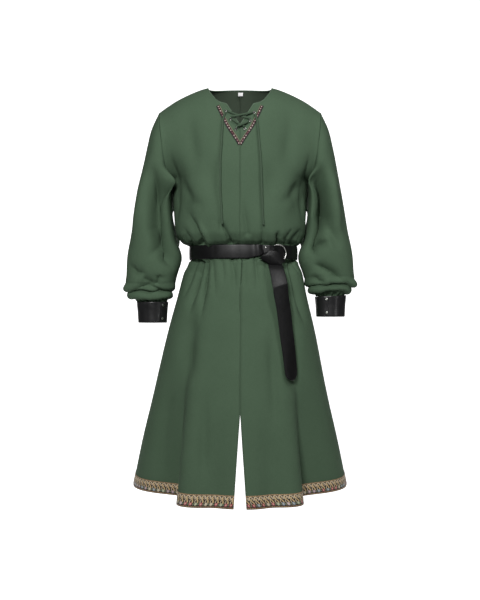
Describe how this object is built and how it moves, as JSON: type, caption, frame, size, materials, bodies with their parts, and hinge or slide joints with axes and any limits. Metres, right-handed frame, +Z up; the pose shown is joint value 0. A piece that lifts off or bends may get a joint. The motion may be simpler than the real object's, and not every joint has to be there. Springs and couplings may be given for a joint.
{
  "type": "medieval surcoat tunic",
  "caption": "Belted long-sleeved medieval surcoat tunic with a laced V neck, ribbon trims, leather cuffs, a ring belt with a hanging tail, and a slit flared skirt.",
  "frame": {"origin": "midway between the two neck points, at shoulder height, where the wearer's shoulders hold the garment up", "axes": "+Z up, +X towards the wearer's left, the front faces -Y"},
  "size_m": [0.6148, 0.4519, 1.1029],
  "materials": {
    "green_cloth": "matt plain weave, muted forest green",
    "jacquard_ribbon": "brown and gold woven scrolls with small coloured flowers",
    "burgundy_ribbon": "burgundy and black ribbon with pale dots and a thin gold edge",
    "black_leather": "smooth black leather with a soft sheen",
    "steel": "polished steel",
    "white_label": "blank white woven label"
  },
  "bodies": {
    "root": {"back_left": "green_cloth", "back_right": "green_cloth", "belt_inner": "black_leather", "belt_ring": "steel", "belt_strap": "black_leather", "belt_stud": "steel", "belt_tail": "black_leather", "belt_wrap": "black_leather", "cuff_left": "black_leather", "cuff_right": "black_leather", "eyelet_left_1": "steel", "eyelet_left_2": "steel", "eyelet_left_3": "steel", "eyelet_right_1": "steel", "eyelet_right_2": "steel", "eyelet_right_3": "steel", "front_left": "green_cloth", "front_right": "green_cloth", "hem_trim_left": "jacquard_ribbon", "hem_trim_right": "jacquard_ribbon", "lace_cross_1": "green_cloth", "lace_cross_2": "green_cloth", "lace_cross_3": "green_cloth", "lace_cross_4": "green_cloth", "lace_end_left": "green_cloth", "lace_end_right": "green_cloth", "neck_binding": "green_cloth", "neck_label": "white_label", "sleeve_left": "green_cloth", "sleeve_right": "green_cloth", "snap_left_1": "steel", "snap_left_2": "steel", "snap_right_1": "steel", "snap_right_2": "steel", "v_trim_left": "burgundy_ribbon", "v_trim_right": "burgundy_ribbon"}
  },
  "joints": []
}
